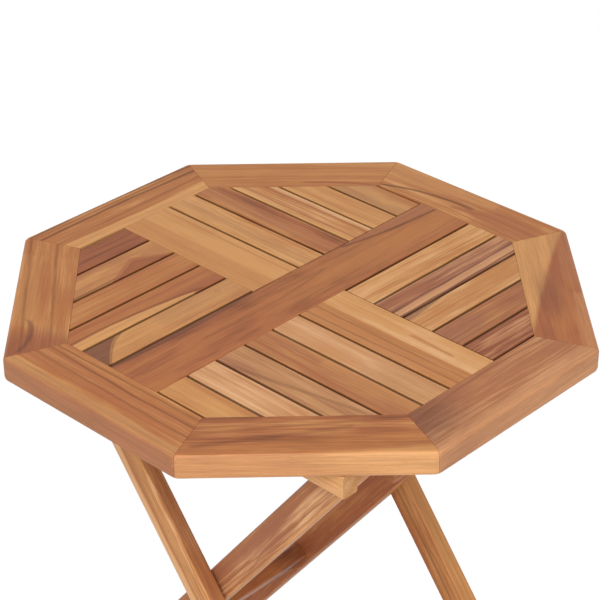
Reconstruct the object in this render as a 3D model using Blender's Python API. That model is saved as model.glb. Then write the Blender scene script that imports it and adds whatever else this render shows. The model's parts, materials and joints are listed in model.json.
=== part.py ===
"""Folding garden table: an octagonal slatted teak top on two crossed folding leg frames.

Metres, +Z up. The origin lies on the floor under the middle of the top. The main rail of the
top and every pivot run along X, and the legs cross in upright planes square to X. East is +X
and north is +Y in the names of the pieces.
"""

import math

import bmesh
import bpy
from mathutils import Matrix, Vector

# Whole table
ACROSS_FLATS = 0.600
TABLE_HEIGHT = 0.650
FIT = 0.0003

# Mitred octagonal frame of the top
TOP_THICKNESS = 0.028
FRAME_WIDTH = 0.063
CORNER_RADIUS = 0.012
EDGE_ROUND = 0.005
MITRE_TENON_LENGTH = 0.012
MITRE_TENON_THICKNESS = 0.008
MITRE_TENON_SHOULDER = 0.016

# Rails and slats inside the frame
RAIL_WIDTH = 0.068
SLATS = 5
SLAT_GAP = 0.0026
SLAT_ROUND = 0.0015
TENON_LENGTH = 0.008
TENON_THICKNESS = 0.010
TENON_SHOULDER = 0.006
LEAST_TENON = 0.005

# Battens and stop cleat under the top
BATTEN_THICKNESS = 0.020
BATTEN_DEPTH = 0.026
BATTEN_REACH = 0.236
BATTEN_ROUND = 0.002
BATTEN_SCREW_INSET = 0.053
CLEAT_WIDTH = 0.034
CLEAT_DEPTH = 0.018
CLEAT_SCREW_EDGE = 0.0065
CLEAT_SCREW_REACH = 0.080

# Leg frames
LEG_SPREAD = 0.335
LEG_WIDTH = 0.036
LEG_THICKNESS = 0.021
LEG_ROUND = 0.004
HINGE_REACH = 0.201
PIVOT_HEIGHT = 0.339
PIVOT_SHIFT = 0.008
STRETCHER_WIDTH = 0.045
STRETCHER_THICKNESS = 0.020
STRETCHER_ROUND = 0.003
INNER_STRETCHER_DROP = 0.2015
OUTER_STRETCHER_DROP = 0.290
BAR_TENON_LENGTH = 0.014
BAR_TENON_THICKNESS = 0.012
BAR_TENON_SHOULDER = 0.008

# Hinge bolts with flanged heads and nuts, and concealed pivot pins with spacers
BOLT_RADIUS = 0.004
FLANGE_RADIUS = 0.0075
FLANGE_THICKNESS = 0.0010
BOLT_HEAD_RADIUS = 0.006
BOLT_HEAD_HEIGHT = 0.0035
PIN_DEPTH = 0.014
PIN_EASE = 0.001
NUT_RADIUS = 0.0075
NUT_THICKNESS = 0.006
NUT_POCKET_MARGIN = 0.002
SPACER_RADIUS = 0.012
SPACER_THICKNESS = 0.0015

# Countersunk screws
SCREW_HEAD_RADIUS = 0.0042
SCREW_HEAD_HEIGHT = 0.0026
SCREW_RADIUS = 0.0022
SCREW_POINT = 0.004
SCREW_BITE = 0.014

# Facets of round shapes
CORNER_STEPS = 3
ROUND_STEPS = 3
EASE_STEPS = 2
LEG_TOP_STEPS = 14
BOLT_STEPS = 24
HEX_STEPS = 6
SCREW_STEPS = 12
DOME_STEPS = 4
SMOOTH_ANGLE = math.radians(35)

# Teak tones as linear colours, and the two finishes
TONES = {
    "light": (0.52, 0.31, 0.14),
    "golden": (0.60, 0.33, 0.11),
    "peach": (0.62, 0.34, 0.18),
    "orange": (0.50, 0.22, 0.08),
    "brown": (0.42, 0.19, 0.08),
    "red": (0.37, 0.14, 0.06),
    "dark": (0.28, 0.10, 0.06),
    "purple": (0.30, 0.13, 0.09),
    "grey": (0.42, 0.27, 0.15),
    "steel": (0.55, 0.55, 0.56),
}
WOOD_ROUGHNESS = 0.55
STEEL_ROUGHNESS = 0.35

# Compass names of the ends, and of the quadrants and sides turning from east to north
ENDS = (("e", 1), ("w", -1))
QUADRANTS = ("ne", "nw", "sw", "se")
SIDE_NAMES = ("e", "ne", "n", "nw", "w", "sw", "s", "se")
SIDE_TONES = ("orange", "orange", "orange", "orange", "red", "orange", "red", "light")
SLAT_TONES = {
    "ne": ("light", "dark", "brown", "orange", "grey"),
    "nw": ("light", "red", "orange", "light", "dark"),
    "sw": ("peach", "brown", "grey", "peach", "golden"),
    "se": ("golden", "purple", "orange", "brown", "purple"),
}

# Sizes that follow from the driving ones
MITRE = math.pi / len(SIDE_NAMES)
HALF_FLAT = ACROSS_FLATS / 2
INNER_HALF = HALF_FLAT - FRAME_WIDTH
RAIL_HALF = RAIL_WIDTH / 2
HALF_TOP = TOP_THICKNESS / 2
MIDDLE_LEVEL = TABLE_HEIGHT - HALF_TOP
SLAT_PITCH = (INNER_HALF - RAIL_HALF - SLAT_GAP) / SLATS
HINGE_DROP = LEG_WIDTH / 2 + FIT
HINGE_HEIGHT = TABLE_HEIGHT - TOP_THICKNESS - HINGE_DROP
LEG_ARM = math.hypot(HINGE_REACH, HINGE_HEIGHT - PIVOT_HEIGHT)
LEAN = math.atan2(HINGE_REACH, HINGE_HEIGHT - PIVOT_HEIGHT)
OUTER_FACE = LEG_SPREAD / 2
OUTER_INSIDE = OUTER_FACE - LEG_THICKNESS
INNER_FACE = OUTER_INSIDE - SPACER_THICKNESS - 2 * FIT
INNER_INSIDE = INNER_FACE - LEG_THICKNESS
HINGE_PLACE = HINGE_REACH - PIVOT_SHIFT
STOP_PLACE = -HINGE_REACH - PIVOT_SHIFT - HINGE_DROP
BATTEN_INSIDE = OUTER_FACE + FIT
BATTEN_FACE = BATTEN_INSIDE + BATTEN_THICKNESS
NUT_POCKET_DEPTH = NUT_THICKNESS + 3 * FIT
UP = Vector((0.0, 0.0, 1.0))


def clear_scene():
    """Remove every object, so that the model is the same each time."""
    for old in list(bpy.data.objects):
        bpy.data.objects.remove(old, do_unlink=True)


def finish(tone):
    """A material in one tone of teak, or in steel."""
    metal = tone == "steel"
    look = bpy.data.materials.new(tone)
    look.use_nodes = True
    shader = look.node_tree.nodes["Principled BSDF"]
    shader.inputs["Base Color"].default_value = (*TONES[tone], 1.0)
    shader.inputs["Roughness"].default_value = STEEL_ROUGHNESS if metal else WOOD_ROUGHNESS
    shader.inputs["Metallic"].default_value = 1.0 if metal else 0.0
    return look


def axis_empty(name, location, parent=None, lean=0.0):
    """An empty on a joint's axis, which carries the pieces that turn about it."""
    axis = bpy.data.objects.new(name, None)
    axis.parent = parent
    axis.location = location
    axis.rotation_euler = (lean, 0.0, 0.0)
    bpy.context.scene.collection.objects.link(axis)
    return axis


def mesh_from(name, bm):
    """Turn a bmesh into a mesh with smooth round faces and sharp corners."""
    bmesh.ops.recalc_face_normals(bm, faces=bm.faces)
    mesh = bpy.data.meshes.new(name)
    bm.to_mesh(mesh)
    bm.free()
    mesh.shade_smooth()
    mesh.set_sharp_from_angle(angle=SMOOTH_ANGLE)
    mesh.materials.append(None)
    return mesh


def about_z(turn):
    """A turn about the upright axis."""
    return Matrix.Rotation(turn, 4, "Z")


def piece(name, mesh, parent, tone, place=Matrix()):
    """Place a mesh as a named piece with a material of its own."""
    thing = bpy.data.objects.new(name, mesh)
    thing.parent = parent
    thing.matrix_basis = place
    thing.material_slots[0].link = "OBJECT"
    thing.material_slots[0].material = finish(tone)
    bpy.context.scene.collection.objects.link(thing)
    return thing


def cutter(name, bm, parent, place=Matrix()):
    """A hidden solid that cuts mortises, pockets or bores."""
    thing = piece(name, mesh_from(name, bm), parent, "steel", place)
    thing.hide_render = True
    thing.display_type = "WIRE"
    return thing


def cut(thing, *cutters):
    """Cut hidden solids out of a piece."""
    for tool in cutters:
        boolean = thing.modifiers.new(tool.name, "BOOLEAN")
        boolean.operation = "DIFFERENCE"
        boolean.solver = "EXACT"
        boolean.object = tool


def prism(outline, place, depth):
    """A prism: an outline of pairs, set in space by place and pushed along a depth vector."""
    bm = bmesh.new()
    base = bm.faces.new([bm.verts.new(place(*pair)) for pair in outline])
    grown = bmesh.ops.extrude_face_region(bm, geom=[base])["geom"]
    far = [item for item in grown if isinstance(item, bmesh.types.BMVert)]
    bmesh.ops.translate(bm, verts=far, vec=depth)
    bmesh.ops.recalc_face_normals(bm, faces=bm.faces)
    return bm


def board_prism(outline):
    """A board of the top: an outline in plan, through the thickness of the top."""
    return prism(outline, lambda x, y: (x, y, -HALF_TOP), UP * TOP_THICKNESS)


def add_box(bm, low, high, place=Matrix()):
    """Add a box between two corners."""
    size = Vector(high) - Vector(low)
    shape = Matrix.Translation(Vector(low) + size / 2) @ Matrix.Diagonal((*size, 1.0))
    bmesh.ops.create_cube(bm, size=1.0, matrix=place @ shape)


def add_disc(bm, radius, start, end, steps=BOLT_STEPS):
    """Add a cylinder on the X axis between two places."""
    middle = Matrix.Translation(((start + end) / 2, 0.0, 0.0))
    bmesh.ops.create_cone(bm, cap_ends=True, segments=steps, radius1=radius, radius2=radius,
                          depth=abs(end - start), matrix=middle @ Matrix.Rotation(math.pi / 2, 4, "Y"))


def add_turned(bm, profile, steps, place=Matrix()):
    """Add a solid that is turned about Z from (radius, height) points, then placed."""
    turned = bmesh.new()
    chain = [turned.verts.new((radius, 0.0, height)) for radius, height in profile]
    edges = [turned.edges.new(pair) for pair in zip(chain, chain[1:])]
    bmesh.ops.spin(turned, geom=chain + edges, cent=(0.0, 0.0, 0.0), axis=UP,
                   angle=2 * math.pi, steps=steps, use_merge=True)
    bmesh.ops.remove_doubles(turned, verts=turned.verts, dist=FIT / 10)
    bmesh.ops.recalc_face_normals(turned, faces=turned.faces)
    bmesh.ops.transform(turned, matrix=place, verts=turned.verts)
    mesh = bpy.data.meshes.new("turned")
    turned.to_mesh(mesh)
    turned.free()
    bm.from_mesh(mesh)
    bpy.data.meshes.remove(mesh)


def round_edges(bm, chosen, radius, steps):
    """Round the edges whose two ends pass a test."""
    edges = [edge for edge in bm.edges if chosen(edge.verts[0].co, edge.verts[1].co)]
    bmesh.ops.bevel(bm, geom=edges, offset=radius, offset_type="OFFSET", segments=steps,
                    profile=0.5, affect="EDGES", clamp_overlap=True)
    bmesh.ops.recalc_face_normals(bm, faces=bm.faces)


def along_axis(axis):
    """A test for edges that run along one axis."""
    return lambda start, end: abs((end - start)[axis]) > 0.999 * (end - start).length


def on_both_faces(start, end):
    """A test for the edges that lie in one of the two side faces of a leg."""
    return abs(start.x - end.x) < FIT / 10


def grow_tenon(bm, middle, length, thickness, shoulder):
    """Grow a tenon out of the upright end face whose middle is given."""
    end = min(bm.faces, key=lambda face: (face.calc_center_bounds() - middle).length)
    out = end.normal.copy()
    along = out.cross(UP)
    centre = end.calc_center_bounds()
    reach = max((vert.co - centre).dot(along) for vert in end.verts) - shoulder
    bmesh.ops.inset_individual(bm, faces=[end], thickness=shoulder / 8)
    for vert in end.verts:
        offset = vert.co - centre
        side = max(-reach, min(reach, offset.dot(along)))
        level = max(-thickness / 2, min(thickness / 2, offset.z))
        vert.co = centre + along * side + UP * level
    tip = bmesh.ops.extrude_discrete_faces(bm, faces=[end])["faces"][0]
    bmesh.ops.translate(bm, verts=tip.verts, vec=out * length)
    bmesh.ops.remove_doubles(bm, verts=bm.verts, dist=FIT / 10)


def edge_middle(edge):
    """Middle of an end edge given as two plan points."""
    return (Vector((*edge[0], 0.0)) + Vector((*edge[1], 0.0))) / 2


def edge_length(edge):
    """Length of an end edge given as two plan points."""
    return math.dist(*edge)


def has_tenon(edge):
    """Whether an end edge has room for a tenon between its two shoulders."""
    return edge_length(edge) > 2 * TENON_SHOULDER + LEAST_TENON


def add_mortise(bm, edge, turn):
    """Add the hollow for the tenon on an end edge; the piece lies on the edge's left."""
    along = Vector((*edge[1], 0.0)) - Vector((*edge[0], 0.0))
    facing = about_z(math.atan2(along.y, along.x))
    place = about_z(turn) @ Matrix.Translation(edge_middle(edge)) @ facing
    half = edge_length(edge) / 2 - TENON_SHOULDER + FIT
    deep = TENON_THICKNESS / 2 + FIT
    add_box(bm, (-half, -TENON_LENGTH - FIT, -deep), (half, FIT, deep), place)


def strip_ends(left, right):
    """End edges of a strip from the main rail to the frame: the inner one and the outer ones."""
    half = INNER_HALF - FIT
    corner = half * math.tan(MITRE)
    across = [right, corner, left] if left < corner < right else [right, left]
    tips = [(x, min(half, half / math.cos(2 * MITRE) - abs(x))) for x in across]
    start = RAIL_HALF + FIT
    return ((left, start), (right, start)), list(zip(tips, tips[1:]))


def strip_mesh(name, left, right):
    """A slat or half rail that runs north, with eased long edges and a tenon on each end."""
    inner, outer = strip_ends(left, right)
    bm = board_prism([*inner, *(edge[0] for edge in outer), outer[-1][1]])
    round_edges(bm, along_axis(1), SLAT_ROUND, EASE_STEPS)
    for edge in filter(has_tenon, [inner, *outer]):
        grow_tenon(bm, edge_middle(edge), TENON_LENGTH, TENON_THICKNESS, TENON_SHOULDER)
    return mesh_from(name, bm)


def slat_sides(number):
    """Left and right side of one slat of a quadrant, numbered out from the rail beside it."""
    left = RAIL_HALF + SLAT_GAP + number * SLAT_PITCH
    return left, left + SLAT_PITCH - SLAT_GAP


def main_rail_mesh():
    """The rail that runs the whole way from east to west."""
    end = INNER_HALF - FIT
    bm = board_prism([(-end, -RAIL_HALF), (end, -RAIL_HALF), (end, RAIL_HALF), (-end, RAIL_HALF)])
    round_edges(bm, along_axis(0), SLAT_ROUND, EASE_STEPS)
    for side in (-end, end):
        grow_tenon(bm, Vector((side, 0.0, 0.0)), TENON_LENGTH, TENON_THICKNESS, TENON_SHOULDER)
    return mesh_from("main_rail", bm)


def mitre_reach():
    """Distance from the middle of the top to the middle of a mitre."""
    return (INNER_HALF + HALF_FLAT) / 2 / math.cos(MITRE)


def side_board_mesh():
    """The east board of the frame, mitred and rounded over, with a tenon on its north mitre."""
    slope = math.tan(MITRE)
    away = Vector((-math.sin(MITRE), math.cos(MITRE))) * FIT / 2
    inner = Vector((INNER_HALF, INNER_HALF * slope - FIT / 2 / math.cos(MITRE)))
    centre = Vector((HALF_FLAT - CORNER_RADIUS, (HALF_FLAT - CORNER_RADIUS) * slope))
    turns = [MITRE * step / CORNER_STEPS for step in range(CORNER_STEPS + 1)]
    arc = [centre + CORNER_RADIUS * Vector((math.cos(turn), math.sin(turn))) for turn in turns]
    arc[-1] -= away
    half = [*arc, inner]
    outline = [*((x, -y) for x, y in reversed(half)), *half]
    bm = board_prism(outline)
    middle = (INNER_HALF + HALF_FLAT) / 2
    outside = lambda start, end: min(start.x, end.x) > middle and start.z == end.z
    round_edges(bm, outside, EDGE_ROUND, ROUND_STEPS)
    grow_tenon(bm, about_z(MITRE) @ Vector((mitre_reach(), 0.0, 0.0)), MITRE_TENON_LENGTH,
               MITRE_TENON_THICKNESS, MITRE_TENON_SHOULDER)
    return mesh_from("side_board", bm)


def mitre_mortise():
    """The hollow in the east board's south mitre for the tenon of the board beside it."""
    half = (HALF_FLAT - INNER_HALF) / 2 / math.cos(MITRE) - MITRE_TENON_SHOULDER + FIT
    deep = MITRE_TENON_THICKNESS / 2 + FIT
    place = about_z(-MITRE) @ Matrix.Translation((mitre_reach(), 0.0, 0.0))
    bm = bmesh.new()
    add_box(bm, (-half, -FIT, -deep), (half, MITRE_TENON_LENGTH + FIT, deep), place)
    return bm


def top_mortises(top):
    """Hollows for every tenon: in the frame, in the main rail and in the half rails."""
    frame = bmesh.new()
    main = bmesh.new()
    cross = bmesh.new()
    end = INNER_HALF - FIT
    rail_end = ((end, -RAIL_HALF), (end, RAIL_HALF))
    for quarter in range(len(QUADRANTS)):
        turn = quarter * math.pi / 2
        runs_north = quarter % 2 == 0
        for number in range(SLATS):
            inner, outer = strip_ends(*slat_sides(number))
            for edge in filter(has_tenon, outer):
                add_mortise(frame, edge, turn)
            add_mortise(main if runs_north else cross, inner, turn)
        add_mortise(frame, rail_end, turn)
    for turn in (0.0, math.pi):
        inner, _ = strip_ends(-RAIL_HALF, RAIL_HALF)
        add_mortise(main, inner, turn)
    return (cutter("frame_mortises", frame, top), cutter("main_rail_mortises", main, top),
            cutter("cross_rail_mortises", cross, top))


def build_top(top, screw_bores):
    """The frame, the rails and the pinwheel of slats, with their tenons."""
    frame_mortises, main_mortises, cross_mortises = top_mortises(top)
    board = side_board_mesh()
    for number, (name, tone) in enumerate(zip(SIDE_NAMES, SIDE_TONES)):
        place = about_z(2 * number * MITRE)
        mortise = cutter(f"mitre_mortise_{name}", mitre_mortise(), top, place)
        side = piece(f"frame_board_{name}", board, top, tone, place)
        cut(side, mortise, frame_mortises, *screw_bores)
    rail = piece("main_rail", main_rail_mesh(), top, "red")
    cut(rail, main_mortises, *screw_bores)
    half_rail = strip_mesh("half_rail", -RAIL_HALF, RAIL_HALF)
    for name, turn in (("n", 0.0), ("s", math.pi)):
        rail = piece(f"cross_rail_{name}", half_rail, top, "golden", about_z(turn))
        cut(rail, cross_mortises, *screw_bores)
    for number in range(SLATS):
        slat = strip_mesh(f"slat_{number + 1}", *slat_sides(number))
        for quarter, name in enumerate(QUADRANTS):
            tone = SLAT_TONES[name][number]
            place = about_z(quarter * math.pi / 2)
            cut(piece(f"slat_{name}_{number + 1}", slat, top, tone, place), *screw_bores)


def add_screw(bm, length, extra, place=Matrix()):
    """Add a countersunk screw that points up Z, or with an extra fit the bore that clears it."""
    mouth = [(0.0, -2 * extra), (SCREW_HEAD_RADIUS + extra, -2 * extra)] if extra else [(0.0, 0.0)]
    profile = [*mouth, (SCREW_HEAD_RADIUS + extra, 0.0), (SCREW_RADIUS + extra, SCREW_HEAD_HEIGHT),
               (SCREW_RADIUS + extra, length - SCREW_POINT + extra), (0.0, length + 2 * extra)]
    add_turned(bm, profile, SCREW_STEPS, place)


def build_screws(name, places, length, parent):
    """Like screws at named places, and the bores that clear them."""
    screw = bmesh.new()
    add_screw(screw, length, 0.0)
    mesh = mesh_from(name, screw)
    bores = bmesh.new()
    for end, place in places:
        piece(f"{name}_{end}", mesh, parent, "steel", place)
        add_screw(bores, length, FIT, place)
    return cutter(f"{name}_bores", bores, parent)


def build_top_screws(top):
    """Screws that hold the battens and the cleat up to the top, from below."""
    across = (BATTEN_INSIDE + BATTEN_FACE) / 2
    reach = BATTEN_REACH - BATTEN_SCREW_INSET
    level = -HALF_TOP - BATTEN_DEPTH
    batten = [(north + east, Matrix.Translation((side * across, end * reach, level)))
              for east, side in ENDS for north, end in (("n", 1), ("", 0), ("s", -1))]
    line = STOP_PLACE - CLEAT_WIDTH + CLEAT_SCREW_EDGE
    cleat = [(east, Matrix.Translation((side * CLEAT_SCREW_REACH, line, -HALF_TOP - CLEAT_DEPTH)))
             for east, side in ENDS]
    return (build_screws("batten_screw", batten, BATTEN_DEPTH + SCREW_BITE, top),
            build_screws("cleat_screw", cleat, CLEAT_DEPTH + SCREW_BITE, top))


def build_battens(top, screw_bores, hinge_bores):
    """Two battens that carry the hinge bolts, and the cleat that the inner legs stop against."""
    high = -HALF_TOP - FIT
    low = -HALF_TOP - BATTEN_DEPTH
    bm = bmesh.new()
    add_box(bm, (-BATTEN_THICKNESS / 2, -BATTEN_REACH, low), (BATTEN_THICKNESS / 2, BATTEN_REACH, high))
    round_edges(bm, along_axis(1), BATTEN_ROUND, EASE_STEPS)
    batten = mesh_from("batten", bm)
    for name, side in ENDS:
        middle = (side * (BATTEN_INSIDE + BATTEN_THICKNESS / 2), 0.0, 0.0)
        thing = piece(f"batten_{name}", batten, top, "light", Matrix.Translation(middle))
        cut(thing, *screw_bores, hinge_bores)
    bm = bmesh.new()
    add_box(bm, (-INNER_FACE, STOP_PLACE - CLEAT_WIDTH, -HALF_TOP - CLEAT_DEPTH),
            (INNER_FACE, STOP_PLACE, high))
    round_edges(bm, along_axis(0), BATTEN_ROUND, EASE_STEPS)
    cut(piece("stop_cleat", mesh_from("stop_cleat", bm), top, "brown"), *screw_bores)


def leg_mesh(name, lean):
    """A leg about the crossing pivot, its length up Z: round at the top and level at the foot."""
    half = LEG_WIDTH / 2
    turns = [math.pi * step / LEG_TOP_STEPS for step in range(LEG_TOP_STEPS + 1)]
    outline = [(half * math.cos(turn), LEG_ARM + half * math.sin(turn)) for turn in turns]
    for side in (-half, half):
        outline.append((side, -(PIVOT_HEIGHT + side * math.sin(lean)) / math.cos(lean)))
    bm = prism(outline, lambda y, z: (-LEG_THICKNESS / 2, y, z), Vector((LEG_THICKNESS, 0.0, 0.0)))
    round_edges(bm, on_both_faces, LEG_ROUND, ROUND_STEPS)
    return mesh_from(name, bm)


def bar_mesh(name, high, top_round):
    """A bar between the inner legs, its width down from a level, with a tenon on each end."""
    end = INNER_INSIDE - FIT
    half = STRETCHER_THICKNESS / 2
    middle = high - STRETCHER_WIDTH / 2
    bm = bmesh.new()
    add_box(bm, (-end, -half, high - STRETCHER_WIDTH), (end, half, high))
    upper = lambda start, stop: along_axis(0)(start, stop) and start.z > middle
    lower = lambda start, stop: along_axis(0)(start, stop) and start.z < middle
    round_edges(bm, lower, STRETCHER_ROUND, ROUND_STEPS)
    round_edges(bm, upper, top_round, ROUND_STEPS)
    for side in (-end, end):
        grow_tenon(bm, Vector((side, 0.0, middle)), BAR_TENON_LENGTH,
                   STRETCHER_WIDTH - 2 * BAR_TENON_SHOULDER, half - BAR_TENON_THICKNESS / 2)
    return mesh_from(name, bm)


def add_bar_mortise(bm, high):
    """Add the hollows in both inner legs for the tenons of one bar."""
    end = INNER_INSIDE + BAR_TENON_LENGTH
    half = BAR_TENON_THICKNESS / 2 + FIT
    top = high - BAR_TENON_SHOULDER + FIT
    low = high - STRETCHER_WIDTH + BAR_TENON_SHOULDER - FIT
    add_box(bm, (-end, -half, low), (end, half, top))


def build_inner_frame(inner, pivot_bores):
    """The inner legs with the rail that bears the top and the stretcher lower down."""
    rail_high = LEG_ARM + LEG_WIDTH / 2
    hollows = bmesh.new()
    for high in (rail_high, -INNER_STRETCHER_DROP):
        add_bar_mortise(hollows, high)
    mortises = cutter("inner_leg_mortises", hollows, inner)
    leg = leg_mesh("inner_leg", LEAN)
    for name, side in ENDS:
        middle = (side * (INNER_FACE - LEG_THICKNESS / 2), 0.0, 0.0)
        thing = piece(f"inner_leg_{name}", leg, inner, "red", Matrix.Translation(middle))
        cut(thing, mortises, pivot_bores)
    bullnose = STRETCHER_THICKNESS / 2 - FIT
    piece("inner_top_rail", bar_mesh("inner_top_rail", rail_high, bullnose), inner, "brown")
    stretcher = bar_mesh("inner_stretcher", -INNER_STRETCHER_DROP, STRETCHER_ROUND)
    piece("inner_stretcher", stretcher, inner, "dark")


def build_stretcher_screws(outer):
    """A screw through each end of the outer stretcher into the face of an outer leg."""
    face = -LEG_WIDTH / 2 - FIT - STRETCHER_THICKNESS
    level = -OUTER_STRETCHER_DROP - STRETCHER_WIDTH / 2
    aim = Matrix.Rotation(-math.pi / 2, 4, "X")
    places = [(name, Matrix.Translation((side * (OUTER_FACE - LEG_THICKNESS / 2), face, level)) @ aim)
              for name, side in ENDS]
    return build_screws("stretcher_screw", places, STRETCHER_THICKNESS + FIT + SCREW_BITE, outer)


def build_outer_frame(outer, pivot_bores, hinge_bores, nut_pockets):
    """The outer legs and the stretcher screwed across them, clear of the inner legs' swing."""
    screw_bores = build_stretcher_screws(outer)
    leg = leg_mesh("outer_leg", -LEAN)
    for name, side in ENDS:
        middle = (side * (OUTER_FACE - LEG_THICKNESS / 2), 0.0, 0.0)
        thing = piece(f"outer_leg_{name}", leg, outer, "orange", Matrix.Translation(middle))
        cut(thing, pivot_bores, hinge_bores, nut_pockets, screw_bores)
    bm = bmesh.new()
    near = -LEG_WIDTH / 2 - FIT
    high = -OUTER_STRETCHER_DROP
    add_box(bm, (-OUTER_FACE, near - STRETCHER_THICKNESS, high - STRETCHER_WIDTH),
            (OUTER_FACE, near, high))
    round_edges(bm, along_axis(0), STRETCHER_ROUND, ROUND_STEPS)
    cut(piece("outer_stretcher", mesh_from("outer_stretcher", bm), outer, "brown"), screw_bores)


def axis_bore(name, radius, start, end, parent):
    """Two hidden cylinders on a pivot's axis, one on each side of the middle."""
    bm = bmesh.new()
    for side in (-1, 1):
        add_disc(bm, radius, side * start, side * end)
    return cutter(name, bm, parent)


def drilled_disc_mesh(name, radius, thickness, steps=BOLT_STEPS):
    """A spacer, or with few steps a nut, lying on the X axis from its place outwards."""
    bm = bmesh.new()
    add_disc(bm, radius, 0.0, thickness, steps)
    return mesh_from(name, bm)


def bolt_mesh(name, length):
    """A bolt that points down Z from its seat, with a flange and a domed head above."""
    turns = [math.pi / 2 * step / DOME_STEPS for step in range(DOME_STEPS)]
    dome = [(BOLT_HEAD_RADIUS * math.cos(turn), FLANGE_THICKNESS + BOLT_HEAD_HEIGHT * math.sin(turn))
            for turn in turns]
    point = BOLT_RADIUS / 4
    profile = [(0.0, -length), (BOLT_RADIUS - point, -length), (BOLT_RADIUS, point - length),
               (BOLT_RADIUS, 0.0), (FLANGE_RADIUS, 0.0), (FLANGE_RADIUS, FLANGE_THICKNESS),
               *dome, (0.0, FLANGE_THICKNESS + BOLT_HEAD_HEIGHT)]
    bm = bmesh.new()
    add_turned(bm, profile, BOLT_STEPS)
    return mesh_from(name, bm)


def pin_mesh(name, length):
    """A plain pin that points down Z from its upper end, with both ends eased."""
    profile = [(0.0, -length), (BOLT_RADIUS - PIN_EASE, -length), (BOLT_RADIUS, PIN_EASE - length),
               (BOLT_RADIUS, -PIN_EASE), (BOLT_RADIUS - PIN_EASE, 0.0), (0.0, 0.0)]
    bm = bmesh.new()
    add_turned(bm, profile, BOLT_STEPS)
    return mesh_from(name, bm)


def build_bolts(name, bolt, seat, parent):
    """A bolt or pin on each side of a pivot axis, from its seat inwards."""
    for end, side in ENDS:
        aim = Matrix.Rotation(side * math.pi / 2, 4, "Y")
        piece(f"{name}_{end}", bolt, parent, "steel", Matrix.Translation((side * seat, 0.0, 0.0)) @ aim)


def build_discs(name, disc, start, parent, bore):
    """A spacer or nut at each end of a pivot axis, drilled for its bolt."""
    for end, side in ENDS:
        place = about_z(0.0 if side > 0 else math.pi) @ Matrix.Translation((start, 0.0, 0.0))
        cut(piece(f"{name}_{end}", disc, parent, "steel", place), bore)


def build_pivots(outer, hinge, pivot_bores, hinge_bores):
    """Pins and spacers of the leg crossing, bolts and nuts of the top's hinge."""
    seat = OUTER_INSIDE + PIN_DEPTH - FIT
    pin = pin_mesh("pivot_pin", seat - (INNER_FACE - PIN_DEPTH + FIT))
    spacer = drilled_disc_mesh("spacer", SPACER_RADIUS, SPACER_THICKNESS)
    build_bolts("pivot_pin", pin, seat, outer)
    build_discs("pivot_spacer", spacer, INNER_FACE + FIT, outer, pivot_bores)
    seat = BATTEN_FACE + FIT
    nut_start = OUTER_INSIDE + NUT_POCKET_DEPTH - FIT - NUT_THICKNESS
    nut = drilled_disc_mesh("nut", NUT_RADIUS, NUT_THICKNESS, HEX_STEPS)
    build_bolts("hinge_bolt", bolt_mesh("hinge_bolt", seat - nut_start + FIT), seat, hinge)
    build_discs("hinge_nut", nut, nut_start, hinge, hinge_bores)


def main():
    """Build the whole table about the empties on its two pivot axes."""
    clear_scene()
    crossing = (0.0, -PIVOT_SHIFT, PIVOT_HEIGHT)
    outer = axis_empty("outer_frame_axis", crossing, lean=-LEAN)
    inner = axis_empty("inner_frame_axis", crossing, lean=LEAN)
    hinge = axis_empty("top_hinge_axis", (0.0, HINGE_PLACE, HINGE_HEIGHT))
    centre = (0.0, -HINGE_PLACE, MIDDLE_LEVEL - HINGE_HEIGHT)
    top = axis_empty("top_centre", centre, parent=hinge)
    bore_end = BATTEN_FACE + BATTEN_THICKNESS
    pivot_bores = axis_bore("pivot_bores", BOLT_RADIUS + FIT, INNER_FACE - PIN_DEPTH,
                            OUTER_INSIDE + PIN_DEPTH, outer)
    hinge_bores = axis_bore("hinge_bores", BOLT_RADIUS + FIT, INNER_FACE, bore_end, hinge)
    nut_pockets = axis_bore("nut_pockets", NUT_RADIUS + NUT_POCKET_MARGIN, INNER_FACE,
                            OUTER_INSIDE + NUT_POCKET_DEPTH, hinge)
    screw_bores = build_top_screws(top)
    build_top(top, screw_bores)
    build_battens(top, screw_bores, hinge_bores)
    build_outer_frame(outer, pivot_bores, hinge_bores, nut_pockets)
    build_inner_frame(inner, pivot_bores)
    build_pivots(outer, hinge, pivot_bores, hinge_bores)


main()
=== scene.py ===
"""Folding garden table: teak boards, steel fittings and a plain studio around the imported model.

Laid out as an add-on: the property groups hold colours and sizes, each operator finishes one
group of pieces, and the panel lists the operators. Shader lengths are in millimetres.
"""

import json
import math
from typing import NamedTuple

import bpy
from mathutils import Matrix, Vector


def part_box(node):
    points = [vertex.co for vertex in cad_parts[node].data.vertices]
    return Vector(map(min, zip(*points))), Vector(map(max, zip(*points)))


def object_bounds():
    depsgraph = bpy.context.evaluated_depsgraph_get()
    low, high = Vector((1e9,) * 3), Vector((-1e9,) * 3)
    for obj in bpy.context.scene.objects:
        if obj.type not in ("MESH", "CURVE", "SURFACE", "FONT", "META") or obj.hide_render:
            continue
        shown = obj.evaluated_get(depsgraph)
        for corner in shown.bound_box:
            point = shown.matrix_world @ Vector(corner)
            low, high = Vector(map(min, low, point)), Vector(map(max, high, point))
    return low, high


bl_info = {
    "name": "Folding garden table",
    "version": (1, 0, 0),
    "blender": (4, 5, 0),
    "location": "3D View > Sidebar > Garden table",
    "description": "Finishes every board and fitting of a folding teak table",
    "category": "Object",
}

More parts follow.
